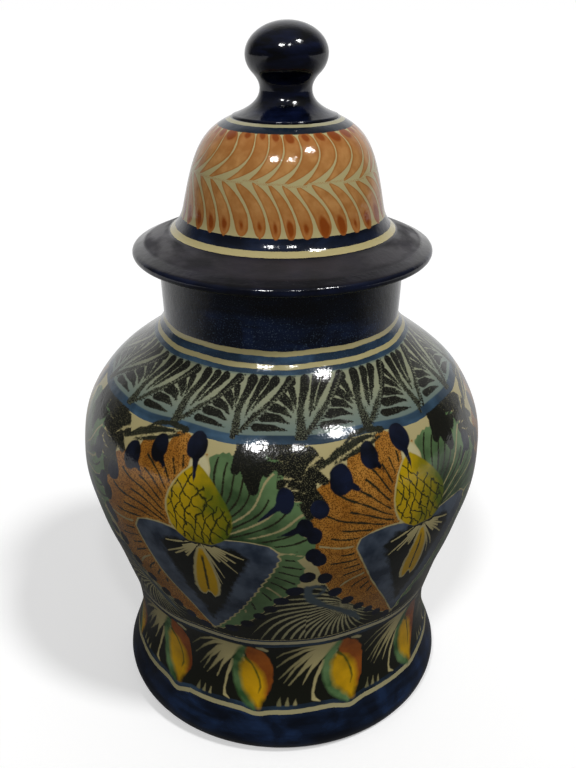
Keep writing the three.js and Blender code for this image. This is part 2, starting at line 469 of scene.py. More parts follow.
SCROLLS = (
    (((50, 36), (58, 42), (68, 45), (78, 46)), (0.6, 1.9, 1.5, 0.5)),
    (((60, 44), (66, 48), (73, 49), (81, 47.5)), (0.4, 1.1, 1.1, 1.6)),
    (((56, 37.5), (65, 40.4), (74, 42.4), (80, 45)), (0.4, 1.1, 1.0, 0.5)),
)
CURL = (((42, -24), (44, -33), (51, -40), (60, -47), (68, -54), (73, -60)), (1.4, 2.2, 1.3, 1.5, 2.2, 0.8))
LEAVES_TOP = 47.4


def flower_shapes(x, y):
    """The distances to each part of one flower, from its root under the bud"""
    lean = x + 0.1 * y * (y > 0)
    bud = upright(lean, y, BUD_HEIGHTS, BUD_HALVES)
    tip = oval(lean, y, (0.5, 33), (4.2, 6.5))
    lobes = y - (1.6 + 2.4 * np.sin(np.clip((np.abs(x) - 7) / 22, 0, 1) * math.pi))
    calyx = np.maximum(upright(x, y, CALYX_HEIGHTS, CALYX_HALVES), lobes)
    calyx = calyx + np.where(x > 0, 0.5 * np.sin(y * 1.7), 0)
    core = upright(x, y, CORE_HEIGHTS, CORE_HALVES) + 0.6 * np.sin(y * 1.3 + x)
    stamen = upright(x, y, STAMEN_HEIGHTS, STAMEN_HALVES)
    stamen = np.maximum(stamen, -30.5 - 2.2 * np.abs(x) - y)
    # Bare glaze stays between the fans and what they stand round
    gap = np.maximum(0.65 - calyx, 0.5 - tip)
    rust = np.maximum(fanned(x, y, RUST_ANGLES, RUST_REACH), np.maximum(gap, 0.6 - bud))
    rust = np.maximum(rust, x + 0.3)
    teeth = 2.6 * np.abs((np.degrees(np.arctan2(y, x)) / 4.2) % 1 - 0.5) * (np.abs(y) > 6)
    leaf = np.maximum(fanned(x, y, LEAF_ANGLES, LEAF_REACH) + teeth, gap)
    leaf = np.maximum(np.maximum(leaf, 0.3 - x), -brushed(x, y, *LEAF_CUT))
    tails = [([reach((0, 0), angle, r) for r in (far, end)], (1.5, 0.3)) for angle, far, end in DOT_TAILS]
    dots = nearest(x, y, tails)
    for angle, far, wide, tall in DOTS:
        dots = np.minimum(dots, oval(x, y, reach((0, 0), angle, far), (wide, tall)))
    return dict(bud=bud, tip=tip, calyx=calyx, core=core, stamen=stamen, rust=rust, leaf=leaf, dots=dots)


def between_shapes(x, y):
    """The distances to what fills the ground between two flowers"""
    black = np.maximum(nearest(x, y, FINGERS), -nearest(x, y, SLITS))
    black = np.maximum(black, y - LEAVES_TOP)
    ring = np.abs(np.hypot(x - 46.5, y + 27.5) - 3.4) - 0.9
    return dict(black=black, scroll=nearest(x, y, SCROLLS), curl=np.minimum(brushed(x, y, *CURL), ring))


def flower_lean(cell):
    """How far each flower leans to a side, in millimetres for each one up"""
    return 0.06 * np.sin(2.4 * (cell % FLOWERS))


def frieze(turn, climb, face_turn):
    """The frieze's distances at each face corner: the nearest of the flower's own and its neighbours'"""
    pitch = 360 / FLOWERS
    cell = np.floor((face_turn - FLOWER_TURN + FLOWER_LEFT) / pitch)
    x = (turn - FLOWER_TURN - cell * pitch) * FLOWER_SCALE
    y = climb - FLOWER_ROOT
    shapes = {}
    for side in (-1, 0, 1):
        shifted = x - side * pitch * FLOWER_SCALE + flower_lean(cell + side) * y
        for name, value in {**flower_shapes(shifted, y), **between_shapes(shifted, y)}.items():
            shapes[name] = np.minimum(shapes.get(name, FAR), value)
    flower = np.minimum(np.minimum(shapes["rust"], shapes["leaf"]), shapes["calyx"])
    shapes["feather"] = np.maximum(np.maximum(0.4 - flower, y + 24), -66.5 - y)
    return x + flower_lean(cell) * y, y, cell, shapes


def painted_jar(piece, turn, climb, face_turn):
    """Works out the painting at every face corner of the jar and keeps it as attributes"""
    # The hand's slow drift, so no two repeats are quite alike
    a = np.radians(turn)
    loose = np.interp(climb, (20, 34, 60, 80, 190, 205, 222), (0.3, 0.4, 0.5, 1.0, 1.0, 0.6, 0.3))
    swung = turn + loose * (0.9 * np.sin(5 * a + 1.0 + climb / 31) + 0.5 * np.sin(11 * a + climb / 13))
    drifted = climb + loose * (0.7 * np.sin(7 * a + 2) + 0.5 * np.sin(13 * a + climb / 17))

    x, y, cell, shapes = frieze(swung, drifted, face_turn)
    here = (climb > FRIEZE[0]) & (climb < FRIEZE[1])
    shapes = {name: np.where(here, value, FAR) for name, value in shapes.items()}
    keep(piece, "fans", shapes["rust"], shapes["leaf"], shapes["calyx"])
    keep(piece, "bloom", shapes["bud"], shapes["core"], shapes["stamen"])
    keep(piece, "marks", shapes["dots"], shapes["black"], shapes["scroll"])
    keep(piece, "ground", shapes["feather"], shapes["curl"], shapes["tip"])

    # Rays of the flower's fans, spread from the root
    far = np.hypot(x, y)
    angle = np.degrees(np.arctan2(x, -y))
    phase = 2 * (cell % FLOWERS)
    rays = angle / RAY_PITCH + 0.3 * np.sin(far / 9 + phase) + 0.16 * np.sin(far / 4 + angle / 20)
    keep(piece, "rays", rays, np.radians(RAY_PITCH) * far, far)

    # The dark feather between the flowers, whose pale veins leave a root low on the right
    plume_x = np.where(x < 0, x + 360 / FLOWERS * FLOWER_SCALE, x) - PLUME_ROOT[0]
    plume_y = y - PLUME_ROOT[1]
    plume_far = np.hypot(plume_x, plume_y)
    plume_turn = np.degrees(np.arctan2(-plume_y, -plume_x)) - 1.1 * plume_far
    turns, ends = (-150, -78, -46, -14, 18, 50, 82, 150), (20, 30, 44, 50, 40, 28, 24, 20)
    plume_end = np.interp(plume_turn, turns, ends)
    keep(piece, "plume", plume_turn / PLUME_PITCH, np.radians(PLUME_PITCH) * plume_far, plume_far / plume_end)

    # Buds of the foot band
    pitch = 360 / BUDS
    cell = np.floor((face_turn - BUD_TURN) / pitch + BUD_SHARE)
    number = cell % BUDS
    bud_x = (swung - BUD_TURN - cell * pitch) * BUD_SCALE
    bud_y = drifted - BUD_MIDDLE
    lean = 0.06 * np.sin(2.3 * number)
    grown = 1 + 0.05 * np.sin(4.1 * number + 1)
    keep(piece, "foot_bud", (bud_x + lean * bud_y) * grown, bud_y)
    # The line under the foot band gives way to the tips of the buds
    dip = (1.6 + 1.2 * np.sin(2.7 * number)) * np.exp(-(((bud_x - 3) / 6) ** 2)) * (climb < DIP_TOP)
    keep(piece, "spot", x, y, drifted + dip)

    # Palmettes, on cells that slant to the right as they climb
    pitch = 360 / PALMETTES
    slant = PALMETTE_BORDER + PALMETTE_SLANT * (climb - PALMETTE_ROOT)
    cell = np.floor((face_turn - PALMETTE_TURN - slant) / pitch)
    palmette_x = (swung - PALMETTE_TURN - cell * pitch) * PALMETTE_SCALE
    keep(piece, "palmette", palmette_x, drifted - PALMETTE_ROOT)


def painted_lid(piece, turn, climb):
    """Works out the lid's garland: two rows of curved strokes that meet in a pale midrib"""
    a = np.radians(turn)
    drifted = climb + 0.4 * np.sin(3 * a) + 0.3 * np.sin(8 * a + 1)
    down = np.clip((MIDRIB - drifted) / (MIDRIB - GARLAND[0]), 0, 1)
    rise = np.clip((drifted - MIDRIB) / (GARLAND[1] - MIDRIB), 0, 1)
    lower_shift = 0.5 * down - 15 * (1 - down) ** 2.3
    upper_shift = 3.6 * np.sin(math.pi * rise) - 15 * (1 - rise) ** 3.2
    lower = turn - lower_shift + 1.6 * np.sin(4 * a) + 0.8 * np.sin(9 * a)
    upper = turn - upper_shift + 1.8 * np.sin(5 * a) + 0.9 * np.sin(8 * a + 2)
    is_lower = drifted < MIDRIB
    count = np.where(is_lower, lower * LOWER_STROKES / 360, upper * UPPER_STROKES / 360 + ROWS_APART)
    keep(piece, "stroke", count, np.where(is_lower, down, rise), is_lower)
    keep(piece, "spot", turn, climb)


# Materials


def add(tree, kind, values=(), operation=None, stops=(), shape=(), **settings):
    """Adds a node with its settings. values gives inputs, by place or by name, a number, a vector, a hex
    colour, or the node or socket that feeds them; operation says what a math node does; stops gives a
    ramp its places and colours; shape gives a curve its points"""
    made = tree.nodes.new("ShaderNode" + kind)
    if operation is not None:
        made.operation = operation
    for name, setting in settings.items():
        setattr(made, name, setting)
    for place, value in values.items() if isinstance(values, dict) else enumerate(values):
        if isinstance(value, bpy.types.Node):
            value = value.outputs[0]
        if isinstance(value, bpy.types.NodeSocket):
            tree.links.new(value, made.inputs[place])
        elif isinstance(value, str):
            made.inputs[place].default_value = hex_colour(value)
        else:
            made.inputs[place].default_value = value
    for number, (place, colour) in enumerate(stops):
        elements = made.color_ramp.elements
        element = elements[number] if number < len(elements) else elements.new(place)
        element.position = place
        element.color = colour
    if shape:
        points = made.mapping.curves[0].points
        for number, place in enumerate(shape):
            point = points[number] if number < len(points) else points.new(*place)
            point.location = place
        made.mapping.update()
    return made


def cleared(owner):
    """The node tree of a material or a world, emptied"""
    owner.use_nodes = True
    owner.node_tree.nodes.clear()
    return owner.node_tree


def parts_of(tree, name):
    """The three values of a corner attribute"""
    source = add(tree, "Attribute", attribute_name=name)
    return add(tree, "SeparateXYZ", (source.outputs["Vector"],)).outputs


def blended(tree, share, first, second):
    """A colour between two others"""
    return add(tree, "Mix", {0: share, 6: first, 7: second}, data_type="RGBA").outputs[2]


def coat_over(tree, base, distance, colour, soft=0.25, rough=(), limits=()):
    """Lays a colour over another where a distance is below zero. rough gives the noises that fray its
    edge, each with an amount; limits gives the distances that bound it too, each with what is added"""
    for noise, amount in rough:
        distance = add(tree, "Math", (noise, amount, distance), "MULTIPLY_ADD")
    for limit, margin in limits:
        bound = add(tree, "Math", (limit, margin), "ADD")
        distance = add(tree, "Math", (distance, bound), "MAXIMUM")
    cover = add(tree, "MapRange", (distance, -soft, soft, 1.0, 0.0))
    return blended(tree, cover, base, colour)


def within(tree, value, centre, half):
    """Distance to a belt: how far a value is from its middle, less its half-width"""
    off = add(tree, "Math", (value, centre), "SUBTRACT")
    off = add(tree, "Math", (off,), "ABSOLUTE")
    return add(tree, "Math", (off, half), "SUBTRACT")


def line_distance(tree, turns, pitch):
    """Distance to the nearest line of a set, from a count that passes a half at each line"""
    part = add(tree, "Math", (turns,), "FRACT")
    off = add(tree, "Math", (part, 0.5), "SUBTRACT")
    off = add(tree, "Math", (off,), "ABSOLUTE")
    return add(tree, "Math", (off, pitch), "MULTIPLY")


def chance_of(tree, count):
    """A number from 0 to 1 that each line of a set has for itself"""
    number = add(tree, "Math", (count,), "FLOOR")
    return add(tree, "TexWhiteNoise", {"W": number}, noise_dimensions="1D").outputs["Value"]


def strokes_distance(tree, place, strokes):
    """Distance to the nearest of several brush strokes: the nearest place on each one's chain of lines,
    less the width there"""
    best = None
    for points, widths in strokes:
        nearest_line = None
        for start, end, first, last in zip(points, points[1:], widths, widths[1:]):
            step = np.subtract(end, start)
            away = add(tree, "VectorMath", (place, (*start, 0.0)), "SUBTRACT")
            share = add(tree, "VectorMath", (away, (*step / (step @ step), 0.0)), "DOT_PRODUCT")
            share = add(tree, "Clamp", (share.outputs["Value"],))
            back = add(tree, "VectorMath", {0: (*-step, 0.0), "Scale": share}, "SCALE")
            away = add(tree, "VectorMath", (away, back), "ADD")
            off = add(tree, "VectorMath", (away,), "LENGTH").outputs["Value"]
            off = add(tree, "Math", (share, first - last, off), "MULTIPLY_ADD")
            off = add(tree, "Math", (off, first), "SUBTRACT")
            nearest_line = off if nearest_line is None else add(tree, "Math", (nearest_line, off), "MINIMUM")
        best = nearest_line if best is None else add(tree, "Math", (best, nearest_line), "MINIMUM")
    return best


def streaked(tree, where, stretch, scale, detail, roughness=0.5):
    """Noise drawn out along the turning, so many times as wide as it is tall"""
    drawn_out = add(tree, "VectorMath", (where, (1.0, 1.0, stretch)), "MULTIPLY")
    settings = {"Vector": drawn_out, "Scale": scale, "Detail": detail, "Roughness": roughness}
    return add(tree, "TexNoise", settings)


def glazed(name, build):
    """A material of fired, painted tin glaze: one clear, glassy layer whose gloss ripples a little, over
    colours that sank into it. build gives its colour and roughness."""
    material = bpy.data.materials.new(name)
    tree = cleared(material)
    where = add(tree, "TexCoord").outputs["Object"]
    colour, roughness = build(tree, where)
    # Heights in millimetres: the glaze pools at about 8 mm, has an orange peel at about 2 mm, and pits
    height = 0.0
    for scale, detail, depth in ((125.0, 1.0, 0.16), (460.0, 1.0, 0.06), (1100.0, 0.0, 0.025)):
        ripple = add(tree, "TexNoise", {"Vector": where, "Scale": scale, "Detail": detail})
        height = add(tree, "Math", (ripple, depth, height), "MULTIPLY_ADD")
    bump = add(tree, "Bump", {"Height": height, "Strength": 1.0, "Distance": MM})
    settings = {"Base Color": colour, "Roughness": roughness, "IOR": 1.45, "Normal": bump}
    add(tree, "OutputMaterial", (add(tree, "BsdfPrincipled", settings),))
    return material


# Strokes of the borders, as above
PALMETTE_STROKES = (
    (((1.4, -1.5), (1.3, 10), (2.3, 15.5), (4.1, 20.5), (5.2, 25.6)), (2.1, 1.35, 1.6, 2.0, 2.6)),
    (((4.9, 8), (6.6, 14.5), (8.7, 20.5), (11.0, 25.8)), (0.3, 1.1, 1.5, 2.3)),
    (((7.2, 11), (9.8, 16), (12.6, 20.5), (16.2, 25.8)), (0.3, 1.0, 1.5, 2.3)),
    (((3.2, 0.5), (8.7, 8), (15, 14.8), (20.9, 22.5), (23.6, 25.4)), (1.1, 1.35, 1.2, 1.9, 2.6)),
    (((-22.4, 0.5), (-16.9, 8), (-10.6, 14.8), (-4.7, 22.5), (-2.0, 25.4)), (1.1, 1.35, 1.2, 1.9, 2.6)),
    (((-0.3, 12), (-1.0, 17), (-1.9, 21.6)), (0.3, 1.3, 1.7)),
    (((-1.4, 10.5), (-3.2, 14.6), (-5.8, 17.6)), (0.3, 1.8, 2.3)),
    (((-2.4, 8.1), (-5.6, 11.4), (-9.8, 12.8)), (0.3, 1.9, 2.4)),
    (((-3.0, 5.2), (-7.6, 7.6), (-13, 8.0)), (0.3, 1.9, 2.3)),
    (((-3.8, 2.0), (-9.2, 3.2), (-15.6, 3.2)), (0.3, 1.4, 1.9)),
)
PLUME_STROKES = (
    (((-5, 18.5), (-13, 11.5), (-20, 3), (-27, -6)), (2.4, 2.5, 1.0, 0.1)),
    (((-6, 17.5), (-11.6, 9.6), (-16.4, 2.0), (-20.6, -6.6)), (2.2, 1.8, 0.8, 0.1)),
    (((-7, 18.5), (-16.4, 13.8), (-25, 6.0), (-31.6, -2)), (2.0, 1.4, 0.7, 0.1)),
    (((-16, 12.5), (-23.5, 5), (-29.4, -4.6)), (0.8, 0.7, 0.1)),
    (((-8, 19.2), (-19, 16.6), (-27, 11.2), (-34, 4.4)), (1.4, 1.1, 0.6, 0.1)),
    (((-9, 19.8), (-20, 18.9), (-29, 15.4), (-35.6, 9.6)), (0.8, 0.8, 0.5, 0.1)),
    (((-9, 7), (-14, -4), (-15.8, -12), (-15.6, -15.5), (-12.5, -17.2)), (1.1, 0.8, 0.6, 0.9, 0.2)),
    (((-32, -17), (-31.2, -12.6)), (1.1, 0.1)),
    (((-28.2, -17), (-27.6, -13.2)), (1.0, 0.1)),
    (((-24.4, -17), (-24, -14)), (0.8, 0.1)),
)
GREEN_STROKES = (
    (
        ((-2.6, 18.4), (-4.8, 13.4), (-6.6, 7), (-7.2, 0), (-6.4, -7), (-4, -12.2), (-0.6, -16.4), (1.6, -19.8)),
        (1.4, 2.2, 2.9, 3.2, 3.5, 3.7, 3.0, 1.0),
    ),
)
YELLOW_STROKES = (
    (((-2.6, 9), (-0.8, 4), (0.8, -1.5), (1.8, -7), (3.2, -12), (4.4, -18.5)), (0.8, 4.6, 6.6, 6.6, 4.4, 0.8)),
)
RUST_STROKES = (
    (
        ((0.4, 17.6), (4.0, 14.6), (6.8, 10), (8.6, 4), (9.3, -2), (8.8, -8), (7.4, -13)),
        (2.4, 3.2, 3.4, 3.1, 2.7, 2.0, 0.8),
    ),
    (((-1.4, 17.4), (1.4, 11.5), (4.4, 5)), (1.5, 2.8, 2.6)),
)
CREASE_STROKES = (
    (((-2.2, 11), (1.2, 7), (3.4, 2), (5.0, -3), (5.6, -7.4), (4.4, -11)), (0.7, 0.5, 0.5, 0.45, 0.4, 0.1)),
)
PATCH_STROKES = ((((4.6, 19.8), (8.4, 17.6)), (1.3, 0.9)), (((-3.4, 12.5), (-3, 8.6)), (0.9, 0.5)))

# Half-widths of the garland's strokes along them, in pitches
LOWER_STROKE = ((0, 0.03), (0.06, 0.2), (0.18, 0.34), (0.35, 0.4), (0.75, 0.39), (0.92, 0.28), (1, 0.0))
UPPER_STROKE = ((0, 0.06), (0.05, 0.16), (0.14, 0.27), (0.32, 0.42), (0.7, 0.46), (0.9, 0.45), (1, 0.3))

# The turned bands: where each starts, its colour, and how much of it is cobalt
CREAM = "#a59a6e"
JAR_BANDS = (
    (0.0, "#6e5038", 0.0), (1.0, "#0b172b", 1.0), (27.8, "#958e6a", 0.0), (30.4, "#1c2936", 0.7),
    (32.8, "#12130b", 0.0), (70.0, "#1c2732", 0.7), (71.6, "#a39c7d", 0.0), (74.4, "#252f3a", 0.7),
    (75.7, CREAM, 0.0), (189.6, "#2a3f50", 0.6), (194.6, "#6c7768", 0.0), (221.8, "#2a3f50", 0.6),
    (224.5, "#a79d70", 0.0), (226.9, "#26394c", 0.6), (230.2, "#a79d70", 0.0), (232.8, "#081226", 1.0),
    (263.0, "#0a0f20", 1.0), (266.0, CREAM, 0.0),
)
LID_BANDS = (
    (-170.0, CREAM, 0.0), (-26.0, "#8a6a50", 0.0), (-7.5, "#080d1e", 1.0), (-1.0, "#0e0c13", 1.0),
    (17.8, "#b0a474", 0.0), (21.4, "#0d1526", 0.8), (26.2, "#b3a778", 0.0), (71.6, "#16212f", 0.6),
    (75.4, "#a09a78", 0.0), (78.0, "#070b16", 1.0),
)


def brushed_bands(tree, where, level, bands, height):
    """The turned bands' colours by climb, from the first one's start up to a height. Cobalt streaks
    along the turning as the brush left it and clouds where the glaze pooled."""
    start = bands[0][0]
    place = add(tree, "MapRange", (level, start, start + height, 0.0, 1.0))
    stops = [((low - start) / height, (*hex_colour(tone)[:3], share)) for low, tone, share in bands]
    ramp = add(tree, "ValToRGB", (place,), stops=stops)
    ramp.color_ramp.interpolation = "CONSTANT"
    tone, cobalt = ramp.outputs
    streaks = add(tree, "MapRange", (streaked(tree, where, 5.0, 42.0, 3.0), 0.38, 0.64, 0.55, 1.6))
    clouds = add(tree, "TexNoise", {"Vector": where, "Scale": 50.0, "Detail": 3.0, "Distortion": 0.7})
    clouds = add(tree, "MapRange", (clouds, 0.42, 0.61, 0.55, 1.6))
    gain = add(tree, "Math", (streaks, clouds), "MULTIPLY")
    colour = add(tree, "HueSaturation", {"Value": gain, "Fac": cobalt, "Color": tone})
    return colour.outputs[0], cobalt


class Brush:
    """How the paint lies: its edge wanders by half a millimetre and breaks up in grains of a third of a
    millimetre, its washes pool at about 12 mm, and a dry brush leaves flecks of bare glaze"""

    def __init__(self, tree, where):
        wander = add(tree, "TexNoise", {"Vector": where, "Scale": 260.0, "Detail": 2.0})
        pools = add(tree, "TexNoise", {"Vector": where, "Scale": 85.0, "Detail": 3.0})
        self.grain = add(tree, "TexNoise", {"Vector": where, "Scale": 1500.0, "Detail": 1.0})
        self.flecks = add(tree, "TexNoise", {"Vector": where, "Scale": 2200.0, "Detail": 0.0})
        self.edge = add(tree, "Math", (wander, 1.6, -0.8), "MULTIPLY_ADD")
        self.coarse = add(tree, "Math", (self.grain, 3.2, -1.6), "MULTIPLY_ADD")
        self.wash = add(tree, "MapRange", (pools, 0.36, 0.64, 0.0, 1.0))


def palmettes(tree, colour, brush):
    """The shoulder's border: strokes of black over a pale blue-grey, solid at their heads and dry behind"""
    place = add(tree, "Attribute", attribute_name="palmette").outputs["Vector"]
    across, up = add(tree, "SeparateXYZ", (place,)).outputs[:2]
    drawn = strokes_distance(tree, place, PALMETTE_STROKES)
    height_share = add(tree, "MapRange", (up, 2.0, 16.0, 0.0, 1.0))
    pale = blended(tree, height_share, "#64726a", "#878a70")
    colour = coat_over(tree, colour, within(tree, up, 13.6, 13.8), pale, 0.3)
    left = add(tree, "Math", (-1.2, across, -5.0), "MULTIPLY_ADD")
    high = add(tree, "Math", (up, 17.0), "SUBTRACT")
    solid = add(tree, "Math", (left, high), "MAXIMUM")
    dry = add(tree, "MapRange", (solid, -4.0, 4.5, 0.75, 0.25))
    bare = add(tree, "MapRange", (solid, -4.0, 4.5, 0.5, 0.66))
    bare = add(tree, "Math", (brush.flecks, bare), "SUBTRACT")
    bare = add(tree, "Math", (bare, 8.0), "MULTIPLY", use_clamp=True)
    black = blended(tree, bare, "#101009", "#4f5342")
    rough = ((brush.coarse, dry), (brush.edge, 0.5))
    return coat_over(tree, colour, drawn, black, 0.2, rough, ((within(tree, up, 13.3, 15.8), 0.0),))


def feathered_ground(tree, colour, brush):
    """The dark feather between the flowers, its pale veins worn off in grains, and a grey curl on it"""
    feather, curl = parts_of(tree, "ground")[:2]
    turns, pitch, reached = parts_of(tree, "plume")
    colour = coat_over(tree, colour, feather, "#17180f", rough=((brush.coarse, 0.4),))
    wide = add(tree, "FloatCurve", {1: reached}, shape=((0, 0.42), (0.2, 0.27), (0.6, 0.19), (1, 0.0)))
    wide = add(tree, "Math", (wide, pitch), "MULTIPLY")
    vein = add(tree, "Math", (line_distance(tree, turns, pitch), wide), "SUBTRACT")
    tone = blended(tree, reached, "#b2ab84", "#7d7b5a")
    rough = ((brush.edge, 0.45), (brush.coarse, 0.2))
    colour = coat_over(tree, colour, vein, tone, 0.3, rough, ((reached, -1.0), (feather, 0.8)))
    return coat_over(tree, colour, curl, "#424d52", 0.6, ((brush.edge, 1.2),))


def foot_band(tree, colour, brush, climb):
    """Over the foot: a pale plume and a bud of rust, green and yellow, a wash over a wash"""
    place = add(tree, "Attribute", attribute_name="foot_bud").outputs["Vector"]
    across = add(tree, "SeparateXYZ", (place,))
    belt = within(tree, climb, 51.2, 18.8)
    away = add(tree, "MapRange", (across, -14.0, -32.0, 0.0, 1.0))
    pale = blended(tree, away, "#a59a6c", "#625f42")
    plumes = strokes_distance(tree, place, PLUME_STROKES)
    colour = coat_over(tree, colour, plumes, pale, 0.35, ((brush.edge, 0.6),), ((belt, 0.0),))
    patch = strokes_distance(tree, place, PATCH_STROKES)
    colour = coat_over(tree, colour, patch, "#948c68", 0.4, (), ((belt, 0.0),))
    washes = (
        (RUST_STROKES, "#6e340a", "#8e4c14", 1.3, 0.5),
        (GREEN_STROKES, "#2c4a26", "#5f7d50", 0.8, 1.0),
        (YELLOW_STROKES, "#a57e05", "#c59607", 0.8, 1.7),
    )
    limits = ((within(tree, climb, 48.0, 22.4), 0.0),)
    for strokes, deep, light, rough, soft in washes:
        drawn = strokes_distance(tree, place, strokes)
        tone = blended(tree, brush.wash, deep, light)
        colour = coat_over(tree, colour, drawn, tone, soft, ((brush.edge, rough),), limits)
    crease = strokes_distance(tree, place, CREASE_STROKES)
    return coat_over(tree, colour, crease, "#4a4c0a", 0.5, ((brush.edge, 0.5),), limits)


def flower(tree, colour, brush, where, x):
    """The flower without its bud: two fans with their rays, and the calyx with its stamen"""
    rust, leaf, calyx = parts_of(tree, "fans")
    core, stamen = parts_of(tree, "bloom")[1:]
    ray, pitch, far = parts_of(tree, "rays")
    frayed = ((brush.edge, 0.5),)

    # The rust fan is stippled over a lighter wash, the green one is a wash that pools dark
    spots = add(tree, "TexVoronoi", {"Vector": where, "Scale": 1500.0})
    stipple = add(tree, "MapRange", (spots.outputs["Distance"], 0.25, 0.6, 0.0, 1.0))
    tone = blended(tree, stipple, "#55310a", blended(tree, brush.wash, "#8f5c1c", "#aa7630"))
    colour = coat_over(tree, colour, rust, tone, rough=frayed)
    outwards = add(tree, "MapRange", (far, 13.0, 46.0, -0.3, 0.75))
    pooled = add(tree, "Math", (brush.wash, 0.55, outwards), "MULTIPLY_ADD", use_clamp=True)
    colour = coat_over(tree, colour, leaf, blended(tree, pooled, "#182c14", "#58724a"), rough=frayed)

    # Rays of both fans: most are dark and run on to a dot, some are bare glaze
    line = line_distance(tree, ray, pitch)
    chance = chance_of(tree, ray)
    end = add(tree, "Math", (chance, 12.0, 37.0), "MULTIPLY_ADD")
    past = add(tree, "Math", (far, end), "SUBTRACT")
    fans = add(tree, "Math", (rust, leaf), "MINIMUM")
    vein = add(tree, "Math", (line, add(tree, "MapRange", (far, 16.0, 44.0, 0.36, 0.5))), "SUBTRACT")
    scraped = add(tree, "Math", (chance, 0.82), "GREATER_THAN")
    tone = blended(tree, scraped, "#1f1f10", "#948a62")
    rough = ((brush.edge, 0.5), (brush.coarse, 0.22))
    colour = coat_over(tree, colour, vein, tone, 0.25, rough, ((fans, 1.2), (past, 0.0)))

    # The calyx: a grey-blue wash round a black heart, with hairs of bare glaze and a yellow stamen
    tone = blended(tree, brush.wash, "#212b39", "#4b5563")
    colour = coat_over(tree, colour, calyx, tone, rough=frayed)
    colour = coat_over(tree, colour, core, "#12140f", 0.9, ((brush.edge, 2.4),))
    hair = add(tree, "Math", (line, add(tree, "MapRange", (far, 4.0, 27.0, 0.7, 0.1))), "SUBTRACT")
    end = add(tree, "Math", (chance, 38.0, -8.0), "MULTIPLY_ADD")
    past = add(tree, "Math", (far, end), "SUBTRACT")
    colour = coat_over(tree, colour, hair, CREAM, 0.2, ((brush.edge, 0.3),), ((past, 0.0), (core, 1.0)))
    halo = add(tree, "Math", (stamen, 1.0), "SUBTRACT")
    colour = coat_over(tree, colour, halo, CREAM, 0.3, ((brush.edge, 0.9),))
    colour = coat_over(tree, colour, stamen, "#b38c08", 0.4)
    crease = within(tree, x, 0.0, 0.5)
    return coat_over(tree, colour, crease, "#3a3610", 0.3, ((brush.edge, 0.6),), ((stamen, 1.2),))


def netted_bud(tree, colour, brush, x, y):
    """The bud: yellow that is greener to the right, under a net of two sets of slanted lines, loosely
    drawn, that leaves out its upper right"""
    bud = parts_of(tree, "bloom")[0]
    tip = parts_of(tree, "ground")[2]
    colour = coat_over(tree, colour, tip, "#b3ab84", 0.5)
    ripe = add(tree, "MapRange", (x, -10.0, 10.0, 0.8, -0.3))
    ripe = add(tree, "Math", (brush.wash, 0.5, ripe), "MULTIPLY_ADD", use_clamp=True)
    colour = coat_over(tree, colour, bud, blended(tree, ripe, "#4f5a0c", "#a98c0a"), 0.4)
    faded = add(tree, "Math", (x, 0.9, y), "MULTIPLY_ADD")
    faded = add(tree, "Math", (brush.edge, 8.0, faded), "MULTIPLY_ADD")
    for slant, gap in ((0.8, 5.4), (-0.3, 4.4)):
        line = add(tree, "Math", (y, slant, x), "MULTIPLY_ADD")
        line = add(tree, "Math", (brush.wash, 3.4, line), "MULTIPLY_ADD")
        line = add(tree, "Math", (brush.edge, 1.6, line), "MULTIPLY_ADD")
        line = add(tree, "Math", (line, gap), "DIVIDE")
        net = add(tree, "Math", (line_distance(tree, line, gap), 0.38), "SUBTRACT")
        limits = ((bud, 0.4), (faded, -25.0))
        colour = coat_over(tree, colour, net, "#23270a", 0.25, ((brush.coarse, 0.2),), limits)
    return colour


def jar_colours(tree, where):
    """Painting over a cream tin glaze, in the order in which it was brushed"""
    brush = Brush(tree, where)
    x, y, climb = parts_of(tree, "spot")
    level = add(tree, "Math", (brush.edge, 0.4, climb), "MULTIPLY_ADD")
    colour, specks = brushed_bands(tree, where, level, JAR_BANDS, 300.0)
    # Pale grains that didn't melt in the cobalt of the neck
    grains = add(tree, "MapRange", (brush.grain, 0.6, 0.72, 0.0, 0.3))
    on_neck = add(tree, "MapRange", (climb, 180.0, 236.0, 0.0, 1.0))
    for share in (grains, on_neck):
        specks = add(tree, "Math", (specks, share), "MULTIPLY")
    colour = blended(tree, specks, colour, "#5f7488")

    colour = palmettes(tree, colour, brush)
    colour = feathered_ground(tree, colour, brush)
    colour = foot_band(tree, colour, brush, climb)
    colour = flower(tree, colour, brush, where, x)
    colour = netted_bud(tree, colour, brush, x, y)

    # Black leaves and scrolls: dry brushing, grainier the farther it is from the flower
    dots, black, scroll = parts_of(tree, "marks")
    aside = add(tree, "Math", (x,), "ABSOLUTE")
    dryness = add(tree, "MapRange", (aside, 24.0, 38.0, 0.08, 0.42))
    worn = add(tree, "MapRange", (brush.flecks, 0.57, 0.68, 0.0, dryness))
    for shape, tone in ((black, "#0f100b"), (scroll, "#1c1e14")):
        tone = blended(tree, worn, tone, "#6d694c")
        colour = coat_over(tree, colour, shape, tone, rough=((brush.coarse, 0.4),))
    tone = blended(tree, brush.wash, "#04050b", "#10172b")
    return coat_over(tree, colour, dots, tone, rough=((brush.edge, 0.6),)), GLOSSY


